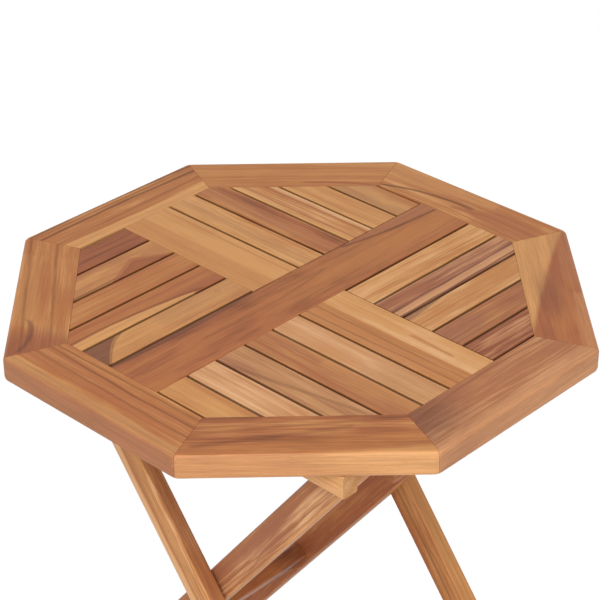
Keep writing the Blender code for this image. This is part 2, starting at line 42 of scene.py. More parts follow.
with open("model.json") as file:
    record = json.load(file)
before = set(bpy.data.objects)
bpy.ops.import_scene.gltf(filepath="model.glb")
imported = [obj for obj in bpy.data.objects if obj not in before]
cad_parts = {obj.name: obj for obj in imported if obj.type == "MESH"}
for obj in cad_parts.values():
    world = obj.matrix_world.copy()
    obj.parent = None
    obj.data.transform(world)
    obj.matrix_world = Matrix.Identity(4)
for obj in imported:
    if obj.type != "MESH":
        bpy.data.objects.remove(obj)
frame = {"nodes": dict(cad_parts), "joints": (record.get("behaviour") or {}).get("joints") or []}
CAD_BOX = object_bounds()

MILLIMETRES = 1000.0
TABLE_TOP = Vector((0.0, 0.0, CAD_BOX[1][2]))
JOINT_PLACES = {joint["name"]: Vector(joint["pos_m"]) for joint in frame["joints"]}
CROSSING = JOINT_PLACES["leg_fold"]
ARM = JOINT_PLACES["top_fold"] - CROSSING
LEAN = math.atan2(ARM.y, ARM.z)
SIDE_NAMES = ("e", "ne", "n", "nw", "w", "sw", "s", "se")
EIGHTH = math.pi / 4
QUARTER = math.pi / 2

WHITE = (1.0, 1.0, 1.0, 1.0)
SENSOR_WIDTH = 36.0

# Indices of the colour sockets of a Mix node
MIX_FACTOR, MIX_FIRST, MIX_SECOND, MIX_RESULT = 0, 6, 7, 2


def linear(red, green, blue):
    """A linear colour from eight-bit sRGB values."""
    shares = (value / 255 for value in (red, green, blue))
    return tuple(share / 12.92 if share <= 0.04045 else ((share + 0.055) / 1.055) ** 2.4
                 for share in shares)


def tone_property(name, description, *colour):
    """A colour setting of the wood."""
    return bpy.props.FloatVectorProperty(name=name, description=description, subtype="COLOR",
                                         size=3, min=0.0, max=1.0, default=linear(*colour))


class TeakSettings(bpy.types.PropertyGroup):
    """Tones of the boards and the strength of their grain."""

    cream: tone_property("Cream", "Palest sapwood", 222, 172, 124)
    straw: tone_property("Straw", "Light golden wood", 206, 149, 92)
    honey: tone_property("Honey", "Golden tan wood", 193, 134, 80)
    peach: tone_property("Peach", "Light pinkish wood", 201, 146, 102)
    olive: tone_property("Olive", "Greenish tan wood", 180, 128, 82)
    amber: tone_property("Amber", "Orange brown wood", 178, 114, 64)
    chestnut: tone_property("Chestnut", "Mid brown wood", 168, 108, 69)
    russet: tone_property("Russet", "Red brown wood", 165, 98, 59)
    mauve: tone_property("Mauve", "Brown wood with a purple cast", 158, 101, 73)
    plum: tone_property("Plum", "Dark purple brown wood", 145, 83, 54)
    umber: tone_property("Umber", "Dark brown growth lines", 106, 60, 34)
    aubergine: tone_property("Aubergine", "Dark purple streaks", 108, 62, 47)
    contrast: bpy.props.FloatProperty(
        name="Contrast", description="Strength of the growth rings", default=1.1, min=0.0, max=3.0,
        subtype="FACTOR")
    relief: bpy.props.FloatProperty(
        name="Relief", description="Depth of open pores and raised grain", default=0.00012,
        min=0.0, max=0.002, unit="LENGTH")
    roughness: bpy.props.FloatProperty(
        name="Roughness", description="Roughness of a sanded face", default=0.47, min=0.0,
        max=1.0, subtype="FACTOR")
    # Painted shade, not dirt: how much the long edge faces of rails and slats are darkened where
    # they face the gaps between boards
    painted_gap_shade: bpy.props.FloatProperty(
        name="Gap shade", description="How much dirt darkens the long edges of rails and slats",
        default=0.55, min=0.0, max=1.0, subtype="FACTOR")


TONE_NAMES = [name for name in TeakSettings.__annotations__
              if name not in ("contrast", "relief", "roughness", "painted_gap_shade")]


class SteelSettings(bpy.types.PropertyGroup):
    """Colour and polish of screws, bolts, nuts, pins and spacers."""

    zinc: bpy.props.FloatVectorProperty(
        name="Zinc", description="Colour of the zinc plating", subtype="COLOR", size=3, min=0.0,
        max=1.0, default=linear(176, 177, 180))
    dull: bpy.props.FloatVectorProperty(
        name="Dull zinc", description="Colour where the plating has dulled", subtype="COLOR",
        size=3, min=0.0, max=1.0, default=linear(136, 136, 140))
    roughness: bpy.props.FloatProperty(
        name="Roughness", description="Roughness of the plating", default=0.34, min=0.0, max=1.0,
        subtype="FACTOR")


class StageSettings(bpy.types.PropertyGroup):
    """Floor, lamps and camera."""

    floor: bpy.props.FloatVectorProperty(
        name="Floor", description="Colour of the floor under the lamps", subtype="COLOR", size=3,
        min=0.0, max=1.0, default=(0.86, 0.86, 0.86))
    floor_size: bpy.props.FloatProperty(
        name="Floor size", description="Side of the square floor", default=40.0, min=1.0,
        unit="LENGTH")
    shadow: bpy.props.FloatProperty(
        name="Shadow", description="How much of the floor is lit by the lamps", default=0.12,
        min=0.0, max=1.0, subtype="FACTOR")
    glow: bpy.props.FloatProperty(
        name="Glow", description="Strength at which the part of the floor that isn't lit is white",
        default=1.07, min=0.0)
    ambient: bpy.props.FloatProperty(
        name="Ambient", description="Strength of the even light from all around", default=0.62,
        min=0.0)
    azimuth: bpy.props.FloatProperty(
        name="Azimuth", description="Direction of the camera round the table",
        default=math.radians(223.666), subtype="ANGLE")
    elevation: bpy.props.FloatProperty(
        name="Elevation", description="Height of the camera as an angle",
        default=math.radians(30.733), subtype="ANGLE")
    roll: bpy.props.FloatProperty(
        name="Roll", description="Turn of the camera about its line of sight",
        default=math.radians(-0.152), subtype="ANGLE")
    distance: bpy.props.FloatProperty(
        name="Distance", description="From the camera to the middle of the top", default=2.1586,
        min=0.1, unit="LENGTH")
    drop: bpy.props.FloatProperty(
        name="Drop", description="How far the camera aims below the top", default=0.00996,
        unit="LENGTH")
    aside: bpy.props.FloatProperty(
        name="Aside", description="How far the camera stands to the right", default=0.001,
        unit="LENGTH")
    lens: bpy.props.FloatProperty(
        name="Lens", description=f"Focal length on a sensor {SENSOR_WIDTH:.0f} mm wide",
        default=122.72, min=1.0, unit="CAMERA")


class Value:
    """A number in a shader, on which sums are written as Python expressions."""

    def __init__(self, shader, socket):
        self.shader = shader
        self.socket = socket

    def math(self, operation, *terms):
        """The result of a Math node."""
        return self.shader.node("ShaderNodeMath", {"operation": operation}, dict(enumerate(terms)))

    def __add__(self, other):
        return self.math("ADD", self, other)

    def __radd__(self, other):
        return self.math("ADD", other, self)

    def __sub__(self, other):
        return self.math("SUBTRACT", self, other)

    def __rsub__(self, other):
        return self.math("SUBTRACT", other, self)

    def __mul__(self, other):
        return self.math("MULTIPLY", self, other)

    def __rmul__(self, other):
        return self.math("MULTIPLY", other, self)

    def __truediv__(self, other):
        return self.math("DIVIDE", self, other)

    def __abs__(self):
        return self.math("ABSOLUTE", self)

    def least(self, other):
        """The smaller of two numbers."""
        return self.math("MINIMUM", self, other)

    def most(self, other):
        """The larger of two numbers."""
        return self.math("MAXIMUM", self, other)

    def hypot(self, other):
        """The length of two sides taken together."""
        return self.math("SQRT", self * self + other * other)

    def step(self, low, high):
        """A soft step from 0 to 1 between two bounds."""
        settings = {"interpolation_type": "SMOOTHSTEP"}
        inputs = {"Value": self, "From Min": low, "From Max": high, "To Min": 0.0, "To Max": 1.0}
        return self.shader.node("ShaderNodeMapRange", settings, inputs)


class Shader:
    """The node tree of a material or of the world, built node by node."""

    def __init__(self, owner):
        owner.use_nodes = True
        self.owner = owner
        self.tree = owner.node_tree

    def set_inputs(self, node, inputs):
        """Link or set the inputs of a node."""
        for key, value in inputs.items():
            if isinstance(value, Value):
                self.tree.links.new(value.socket, node.inputs[key])
            else:
                node.inputs[key].default_value = value

    def set_stops(self, elements, stops):
        """Give a colour ramp its (place, colour) stops."""
        for element, (place, colour) in zip(elements, (stops[0], stops[-1])):
            element.position = place
            element.color = (*colour, 1.0)
        for place, colour in stops[1:-1]:
            elements.new(place).color = (*colour, 1.0)

    def node(self, kind, settings, inputs, output=0):
        """Add a node, its settings first and its inputs after them, and return one output."""
        node = self.tree.nodes.new(kind)
        for name, setting in settings.items():
            if name == "stops":
                self.set_stops(node.color_ramp.elements, setting)
            else:
                setattr(node, name, setting)
        self.set_inputs(node, inputs)
        return Value(self, node.outputs[output])

    def vector(self, x, y, z):
        """A vector from three numbers."""
        return self.node("ShaderNodeCombineXYZ", {}, {0: x, 1: y, 2: z})

    def dot(self, vector, direction):
        """The share of a vector along a fixed direction."""
        return self.node("ShaderNodeVectorMath", {"operation": "DOT_PRODUCT"},
                         {0: vector, 1: direction}, "Value")

    def noise(self, vector, detail):
        """Cloudy noise between 0 and 1, one cloud to each unit of the vector."""
        return self.node("ShaderNodeTexNoise", {"noise_dimensions": "3D"},
                         {"Vector": vector, "Scale": 1.0, "Detail": detail})

    def mix(self, factor, first, second):
        """One colour laid over another."""
        return self.node("ShaderNodeMix", {"data_type": "RGBA"},
                         {MIX_FACTOR: factor, MIX_FIRST: first, MIX_SECOND: second}, MIX_RESULT)

    def scale(self, vector, factor):
        """A vector or colour times a number."""
        return self.node("ShaderNodeVectorMath", {"operation": "SCALE"},
                         {0: vector, "Scale": factor}, "Vector")

    def ramp(self, factor, stops):
        """A colour ramp with (place, colour) stops."""
        return self.node("ShaderNodeValToRGB", {"stops": stops}, {"Fac": factor}, "Color")

    def bump(self, height, strength, distance):
        """A normal that follows a height, at most a distance in metres deep."""
        return self.node("ShaderNodeBump", {},
                         {"Strength": strength, "Distance": distance, "Height": height})


class Lie(NamedTuple):
    """How a board lies at rest: a place on it, its grain's direction and its width's."""

    origin: Vector
    grain: Vector
    width: Vector


class Board(NamedTuple):
    """The look of a board: its tones, the heart of its tree and the marks on it.

    heart is the tree's middle as (across, through) in millimetres from the lie's origin, and
    wander is how far the rings drift to the side over a metre of length.
    """

    base: str
    dark: str = "umber"
    light: str = "straw"
    heart: tuple = (-160.0, -90.0)
    wander: float = 20.0
    ripple: float = 5.0
    rings: float = 1.0
    marks: tuple = ()


class Clouds(NamedTuple):
    """Noise drawn out along the grain: its clouds' length and width in millimetres.

    shift sets one noise apart from another.
    """

    length: float
    width: float
    shift: float
    detail: float = 2.0


DRIFT = Clouds(190.0, 34.0, 1.0)
QUIVER = Clouds(46.0, 9.0, 2.0)
FIBRE = Clouds(26.0, 0.7, 3.0)
THREAD = Clouds(95.0, 2.4, 4.0)
CLOUD = Clouds(75.0, 26.0, 5.0)
PORES = Clouds(7.0, 0.42, 6.0, 1.0)
SWELLING = Clouds(60.0, 60.0, 7.0)
RAGS = Clouds(24.0, 7.0, 11.0)


class Rings(NamedTuple):
    """Growth rings: the distance between them in millimetres, and their detail."""

    spacing: float
    detail: float = 1.0


BROAD_RINGS = Rings(15.0)
MEDIUM_RINGS = Rings(4.6)
THIN_RINGS = Rings(1.5)
LATE_RINGS = Rings(7.5, 2.0)

# The middle of a noise, and how far in millimetres a ring runs along the grain unchanged
MIDDLE = 0.5
RING_LENGTH = 700.0

# Marks: how far drift and quiver move them to the side in millimetres, and how fast they move
# to the side on their way through the board
MARK_DRIFT = 5.0
MARK_QUIVER = 2.4
MARK_SLOPE = 0.25

# How far drift and quiver move the rings, as shares of the board's ripple
RING_DRIFT = 3.0
RING_QUIVER = 0.6

# Bounds of soft steps: late wood, open pores, worn rounding, cut end, and the long edge faces for
# painted shade in the gaps between boards and for another tone
LATE_STEP = (0.58, 0.74)
PORE_STEP = (0.63, 0.74)
WORN_STEP = (0.995, 0.86)
END_STEP = (0.6, 0.9)
EDGE_STEP = (0.35, 0.8)
RIM_STEP = (0.45, 0.85)

# How strongly each feature of the wood shows in its rings, tone, marks, height, roughness and
# shade; the gap weight paints shade onto long edge faces that face another board
RING_WEIGHTS = {"broad": 1.15, "medium": 1.0, "thin": 0.7, "late": -0.2}
TONE_WEIGHTS = {"thread": 1.0, "fibre": 0.8, "cloud": 1.0}
MARK_WEIGHTS = {"thread": 0.45, "fibre": 0.5, "medium": 0.35}
HEIGHT_WEIGHTS = {"fibre": 0.9, "late": 0.35, "thin": 0.3, "pores": -1.0}
ROUGHNESS_WEIGHTS = {"pores": 0.16, "late": 0.06, "fibre": 0.2, "cut_end": 0.14,
                     "worn": -0.05}
SHADE_WEIGHTS = {"worn": 0.1, "cut_end": -0.16, "pores": -0.13, "gap": -1.0}
MIDDLE_TONE = 0.53
RELIEF_STRENGTH = 0.75
SATIN_FINISH = {"Specular IOR Level": 0.15, "Coat Weight": 0.03, "Coat Roughness": 0.4}

# The fade at the ends of a mark and its drift, in millimetres
LONGEST_FADE = 9.0
FADE_DRIFT = 20.0

# How thin a streak may be, its soft edge, the raggedness of a patch, the softness of a crest in
# millimetres and at its foot, and a knot's length, ring and eye as shares of its size
LEAST_SWELLING = 0.35
STREAK_STEP = (0.35, 1.3)
RAGGEDNESS = 0.7
CREST_SOFTNESS = 1.5
CREST_FOOT = 0.05
KNOT_LENGTH = 1.4
KNOT_RING_STEP = (0.15, 0.55)
KNOT_EYE_STEP = (0.1, 0.45)

# How far the noise of one board is from the next board's
SEED_STEP = 3.7


class Grain:
    """Millimetre coordinates in a board: along its grain, across its width and through it."""

    def __init__(self, shader, lie, seed):
        point = shader.node("ShaderNodeTexCoord", {}, {}, "Object")
        facing = shader.node("ShaderNodeTexCoord", {}, {}, "Normal")
        depth = lie.grain.cross(lie.width)
        self.shader = shader
        self.seed = seed
        self.along, self.across, self.through = (
            shader.dot(point, axis * MILLIMETRES) - lie.origin.dot(axis) * MILLIMETRES
            for axis in (lie.grain, lie.width, depth))
        self.end, self.edge, self.face = (abs(shader.dot(facing, axis))
                                          for axis in (lie.grain, lie.width, depth))
        self.drift = self.noise(DRIFT) - MIDDLE
        self.quiver = self.noise(QUIVER) - MIDDLE
        self.side = (self.across + self.drift * MARK_DRIFT + self.quiver * MARK_QUIVER
                     + self.through * MARK_SLOPE)

    def noise(self, clouds):
        """Noise drawn out along the grain."""
        place = self.shader.vector(self.along / clouds.length + (self.seed + clouds.shift),
                                   self.across / clouds.width, self.through / clouds.width)
        return self.shader.noise(place, clouds.detail)


def course(grain, points):
    """Where a line lies across the board, through one to three (along, across) points."""
    if len(points) == 1:
        return points[0][1]
    (first, low), (second, high) = points[:2]
    slope = (high - low) / (second - first)
    line = (grain.along - first) * slope + low
    if len(points) == 2:
        return line
    third, last = points[2]
    bend = ((last - high) / (third - second) - slope) / (third - first)
    return line + (grain.along - first) * (grain.along - second) * bend


def within(grain, mask, reach):
    """A mask kept between two places along the grain."""
    if reach is None:
        return mask
    start, end = reach
    fade = min(LONGEST_FADE, (end - start) / 4)
    place = grain.along + grain.drift * FADE_DRIFT
    return mask * place.step(start, start + fade) * (1.0 - place.step(end - fade, end))


def strip(tone, share, low, high, reach=None, soft=1.6):
    """A band of another tone between two courses."""
    def mask(grain):
        above = (grain.side - course(grain, low)).step(-soft, soft)
        beyond = (grain.side - course(grain, high)).step(-soft, soft)
        return within(grain, above * (1.0 - beyond), reach)
    return tone, share, mask


def streak(tone, share, points, width, reach=None):
    """A growth line of its own along a course."""
    def mask(grain):
        off = abs(grain.side - course(grain, points))
        thick = width * (LEAST_SWELLING + grain.noise(SWELLING))
        return within(grain, 1.0 - (off / thick).step(*STREAK_STEP), reach)
    return tone, share, mask


def patch(tone, share, centre, radii, soft=0.3):
    """A cloud of another tone with a ragged edge."""
    def mask(grain):
        reach = ((grain.along - centre[0]) / radii[0]).hypot((grain.side - centre[1]) / radii[1])
        ragged = reach + (grain.noise(RAGS) - MIDDLE) * RAGGEDNESS
        return 1.0 - ragged.step(1.0 - soft, 1.0 + soft)
    return tone, share, mask


def crest(tone, share, start, peak, end):
    """A pointed arch on a line from start to end, as where a board cuts through a ring."""
    def mask(grain):
        rise = ((grain.along - start[0]) / (peak[0] - start[0])).least(
            (grain.along - end[0]) / (peak[0] - end[0]))
        height = (peak[1] - start[1]) * rise
        below = (height - (grain.side - start[1])).step(-CREST_SOFTNESS, CREST_SOFTNESS)
        return below * rise.step(0.0, CREST_FOOT)
    return tone, share, mask


def rim(tone, share):
    """Another tone on the long edge faces."""
    return tone, share, lambda grain: grain.edge.step(*RIM_STEP)


def knot(tone, share, centre, size):
    """A pin knot: a dark eye in a paler ring."""
    def mask(grain):
        spread = ((grain.along - centre[0]) / KNOT_LENGTH).hypot(grain.side - centre[1])
        ring = 1.0 - (abs(spread - size) / size).step(*KNOT_RING_STEP)
        return ring.most(1.0 - (spread / size).step(*KNOT_EYE_STEP))
    return tone, share, mask


def weigh(features, weights):
    """The sum of some features of the wood, each times its weight."""
    first, *others = (features[name] * weight for name, weight in weights.items())
    return sum(others, first)


def teak(name, board, lie, seed, painted_shade_share):
    """The material of one board; its last argument paints shade onto long edge faces that face
    another board across a gap.
    """
    settings = bpy.context.scene.garden_teak
    tones = {tone: Vector(getattr(settings, tone)) for tone in TONE_NAMES}
    shader = Shader(bpy.data.materials.new(name))
    grain = Grain(shader, lie, seed)
    sway = (grain.drift * RING_DRIFT + grain.quiver * RING_QUIVER) * board.ripple
    aside = grain.across - board.heart[0] + grain.along * (board.wander / MILLIMETRES)
    radius = aside.hypot(grain.through - board.heart[1]) + sway

    def ringed(rings):
        place = shader.vector(radius / rings.spacing, grain.along / RING_LENGTH, grain.seed)
        return shader.noise(place, rings.detail)

    features = {
        "broad": ringed(BROAD_RINGS) - MIDDLE,
        "medium": ringed(MEDIUM_RINGS) - MIDDLE,
        "thin": ringed(THIN_RINGS) - MIDDLE,
        "late": ringed(LATE_RINGS).step(*LATE_STEP),
        "fibre": grain.noise(FIBRE) - MIDDLE,
        "thread": grain.noise(THREAD) - MIDDLE,
        "cloud": grain.noise(CLOUD) - MIDDLE,
        "pores": grain.noise(PORES).step(*PORE_STEP),
        "worn": grain.end.most(grain.edge).most(grain.face).step(*WORN_STEP),
        "cut_end": grain.end.step(*END_STEP),
        # Painted shade on the long edge faces that face another board across a gap
        "gap": grain.edge.step(*EDGE_STEP) * painted_shade_share,
    }
    strength = board.rings * settings.contrast
    level = (weigh(features, RING_WEIGHTS) * strength + weigh(features, TONE_WEIGHTS)
             + MIDDLE_TONE)
    colour = shader.ramp(level, ((0.0, tones[board.dark]), (0.5, tones[board.base]),
                                 (1.0, tones[board.light])))
    lively = 1.0 + weigh(features, MARK_WEIGHTS)
    for tone, share, mask in board.marks:
        marked = shader.scale(tones[tone], lively)
        colour = shader.mix(mask(grain) * share, colour, marked)
    # Lighter worn rounding, darker cut ends and pores, and painted shade on the edge faces in the
    # gaps
    for feature, weight in SHADE_WEIGHTS.items():
        colour = shader.scale(colour, 1.0 + features[feature] * weight)
    roughness = settings.roughness + weigh(features, ROUGHNESS_WEIGHTS)
    relief = shader.bump(weigh(features, HEIGHT_WEIGHTS), RELIEF_STRENGTH, settings.relief)
    shader.set_inputs(shader.tree.nodes["Principled BSDF"], {
        "Base Color": colour, "Roughness": roughness, "Normal": relief, **SATIN_FINISH})
    return shader.owner


# Zinc plating: clouds and spangles to a millimetre, where it is dulled, and how much they show
DULL_CLOUDS = 0.35
SPANGLES = 2.2
DULL_STEP = (0.38, 0.66)
DULL_ROUGHNESS = 0.12
SPANGLE_SHADE = 0.16
SPANGLE_ROUGHNESS = 0.2
SPANGLE_RELIEF = 0.4
SPANGLE_DEPTH = 0.00004


def steel(name):
    """Zinc plated steel, dulled in clouds and finely spangled."""
    settings = bpy.context.scene.garden_steel
    shader = Shader(bpy.data.materials.new(name))
    point = shader.node("ShaderNodeTexCoord", {}, {}, "Object")
    clouds = shader.noise(shader.scale(point, DULL_CLOUDS * MILLIMETRES), detail=3.0)
    dulled = clouds.step(*DULL_STEP)
    spangle = shader.noise(shader.scale(point, SPANGLES * MILLIMETRES), detail=2.0) - MIDDLE
    colour = shader.mix(dulled, (*settings.zinc, 1.0), (*settings.dull, 1.0))
    shader.set_inputs(shader.tree.nodes["Principled BSDF"], {
        "Base Color": shader.scale(colour, 1.0 + spangle * SPANGLE_SHADE), "Metallic": 1.0,
        "Roughness": settings.roughness + dulled * DULL_ROUGHNESS + spangle * SPANGLE_ROUGHNESS,
        "Normal": shader.bump(spangle, SPANGLE_RELIEF, SPANGLE_DEPTH)})
    return shader.owner


def dress(node, material):
    """Give a node of the model its material."""
    for slot in frame["nodes"][node].material_slots:
        slot.material = material


def dress_boards(boards, lie_of, painted_shade_share=0.0):
    """Give each named board its own teak, seeded by its place among all nodes' names."""
    names = sorted(frame["nodes"])
    for node, board in boards.items():
        seed = names.index(node) * SEED_STEP
        dress(node, teak(f"teak_{node}", board, lie_of(node), seed, painted_shade_share))


def plan_lie(turn):
    """The lie of a board of the top whose grain is turned from east."""
    return Lie(TABLE_TOP, Vector((math.cos(turn), math.sin(turn), 0.0)),
               Vector((-math.sin(turn), math.cos(turn), 0.0)))


def side_lie(node):
    """The lie of a board of the octagon, its width pointing outwards."""
    return plan_lie(SIDE_NAMES.index(node.rsplit("_", 1)[1]) * EIGHTH - QUARTER)


def rail_lie(node):
    """The lie of a rail of the top."""
    return plan_lie(0.0 if node == "main_rail" else QUARTER)


def slat_lie(node):
    """The lie of a slat: two quadrants run north, the others run east."""
    return plan_lie(QUARTER if node.split("_")[1] in ("ne", "sw") else 0.0)


def centre_of(node):
    """The middle of a node at rest."""
    low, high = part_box(node)
    return (low + high) / 2


def support_lie(node):
    """The lie of the stop cleat, which runs east, or of a batten, which runs north."""
    grain = Vector((1.0, 0.0, 0.0)) if node == "stop_cleat" else Vector((0.0, 1.0, 0.0))
    return Lie(centre_of(node), grain, Vector((0.0, 0.0, 1.0)))


def leaning_lie(node, lean):
    """The lie of a leg from the crossing, or of a bar that leans with it."""
    origin = Vector((centre_of(node).x, CROSSING.y, CROSSING.z))
    upwards = Vector((0.0, math.sin(lean), math.cos(lean)))
    level = Vector((0.0, math.cos(lean), -math.sin(lean)))
    if "leg" in node:
        return Lie(origin, upwards, level)
    return Lie(centre_of(node), Vector((1.0, 0.0, 0.0)), upwards)


def outer_lie(node):
    """The lie of a piece of the outer frame."""
    return leaning_lie(node, LEAN)


def inner_lie(node):
    """The lie of a piece of the inner frame."""
    return leaning_lie(node, -LEAN)


# Marks on the octagon: along runs clockwise, across runs outwards from the middle of the top
SIDE_BOARDS = {
    "frame_board_n": Board("amber", "russet", heart=(150.0, -60.0), rings=0.7, marks=(
        strip("straw", 0.9, ((0, 230),), ((-100, 255), (0, 252), (104, 255))),
        streak("umber", 0.75, ((-100, 281), (0, 283), (100, 281)), 2.6),
        streak("umber", 0.45, ((-100, 288), (100, 290)), 1.6),
        streak("umber", 0.7, ((-100, 294), (0, 296), (100, 294)), 2.4),
        streak("umber", 0.3, ((-100, 262), (100, 266)), 2.2))),
    "frame_board_ne": Board("amber", "russet", "honey", heart=(420.0, -60.0), marks=(
        strip("straw", 0.45, ((-20, 300), (130, 276)), ((0, 310),), soft=5.0),
        strip("honey", 0.35, ((0, 262),), ((0, 276),), reach=(-60, 120), soft=4.0),
        streak("plum", 0.55, ((20, 248), (60, 245), (100, 236)), 3.0, reach=(10, 104)))),
    "frame_board_e": Board("amber", "russet", "straw", heart=(190.0, -40.0), marks=(
        strip("straw", 0.45, ((-100, 262), (60, 284)), ((0, 310),), reach=(-130, 40), soft=5.0),
        streak("umber", 0.75, ((-97, 242), (-45, 260), (12, 265)), 3.2, reach=(-104, 22)),
        streak("plum", 0.5, ((-20, 250), (40, 262), (100, 262)), 4.0, reach=(-10, 110)),
        patch("russet", 0.75, (70, 262), (52, 20)))),
    "frame_board_se": Board("russet", "plum", "amber", heart=(330.0, -120.0), rings=0.7, marks=(
        strip("straw", 0.85, ((0, 230),), ((-112, 291), (-20, 263), (98, 236)), soft=3.5),
        strip("peach", 0.35, ((-112, 292), (100, 286)), ((0, 310),), reach=(10, 130), soft=4.0),
        patch("mauve", 0.45, (-60, 294), (60, 14), 0.7),
        patch("aubergine", 0.4, (14, 263), (44, 13), 0.7))),
    "frame_board_s": Board("chestnut", "mauve", "peach", heart=(60.0, -90.0), wander=40.0,
                           rings=0.7, marks=(
        strip("peach", 0.6, ((-100, 285), (100, 289)), ((0, 310),), soft=4.0),
        patch("aubergine", 0.65, (100, 256), (46, 30), 0.7),
        streak("umber", 0.3, ((-90, 246), (10, 243), (90, 250)), 2.2),
        rim("mauve", 0.1))),
    "frame_board_sw": Board("russet", "umber", "honey", heart=(120.0, -70.0), rings=0.6, marks=(
        strip("amber", 0.6, ((-110, 262), (110, 288)), ((0, 310),), soft=6.0),
        strip("straw", 0.7, ((-118, 288), (-60, 293), (0, 300)), ((0, 315),), soft=5.0),
        streak("umber", 0.35, ((106, 284), (30, 270), (-42, 255)), 5.0, reach=(-50, 112)),
        streak("umber", 0.3, ((90, 262), (-60, 245)), 3.0),
        rim("cream", 0.32),
        streak("umber", 0.2, ((60, 250), (-20, 241)), 2.4))),
    "frame_board_w": Board("amber", "russet", "straw", heart=(60.0, -30.0), rings=0.6, marks=(
        strip("russet", 0.55, ((0, 250),), ((0, 283),), soft=4.0),
        strip("olive", 0.8, ((-110, 288), (0, 289), (110, 290)), ((0, 310),), soft=3.0),
        rim("mauve", 0.7),
        streak("umber", 0.5, ((-100, 254), (0, 255), (100, 253)), 2.4),
        streak("umber", 0.4, ((-90, 243), (90, 246)), 2.0),
        streak("umber", 0.35, ((-100, 270), (100, 268)), 2.6))),
    "frame_board_nw": Board("amber", "russet", "straw", heart=(330.0, -60.0), ripple=8.0,
                            rings=0.5, marks=(
        strip("honey", 0.5, ((-60, 268), (100, 282)), ((0, 300),), reach=(-70, 90), soft=5.0),
        streak("umber", 0.35, ((-60, 256), (100, 262)), 2.4),
        streak("umber", 0.35, ((-40, 286), (100, 291)), 2.2),
        patch("plum", 0.8, (-104, 272), (30, 44), 0.6),
        streak("aubergine", 0.6, ((-112, 285), (-70, 276), (-50, 281)), 4.0, reach=(-120, -48)))),
}

# Marks on the rails and slats: distances from the middle of the top
RAILS = {
    "main_rail": Board("russet", "umber", "amber", heart=(-20.0, -46.0), wander=34.0, rings=0.6,
                       marks=(
        patch("amber", 0.75, (170, 2), (190, 30), 0.6),
        strip("mauve", 0.5, ((95, 33), (170, 21), (237, 15)), ((0, 40),), reach=(90, 250)),
        streak("umber", 0.75, ((100, 31), (170, 19), (237, 13)), 2.8, reach=(96, 250)),
        strip("aubergine", 0.7, ((-240, 31), (-125, 26), (-10, 34)), ((0, 42),), soft=2.6),
        streak("umber", 0.3, ((-130, 4), (-40, 2), (30, 9)), 2.4, reach=(-140, 60)))),
    "cross_rail_n": Board("straw", "honey", "straw", heart=(-210.0, -60.0), rings=0.6, marks=(
        strip("amber", 0.5, ((0, 3),), ((0, 40),), soft=2.5),
        strip("honey", 0.5, ((0, 22),), ((0, 33),), soft=2.0),
        streak("amber", 0.5, ((40, -22), (235, -24)), 2.4))),
    "cross_rail_s": Board("straw", "honey", "cream", heart=(240.0, -60.0), rings=0.6, marks=(
        strip("amber", 0.8, ((0, 1),), ((0, 40),), soft=1.6),
        streak("umber", 0.35, ((-40, 10), (-235, 12)), 2.0),
        streak("umber", 0.3, ((-40, 25), (-235, 22)), 2.0),
        streak("amber", 0.7, ((-150, -14), (-200, -12)), 3.0, reach=(-205, -140)))),
}
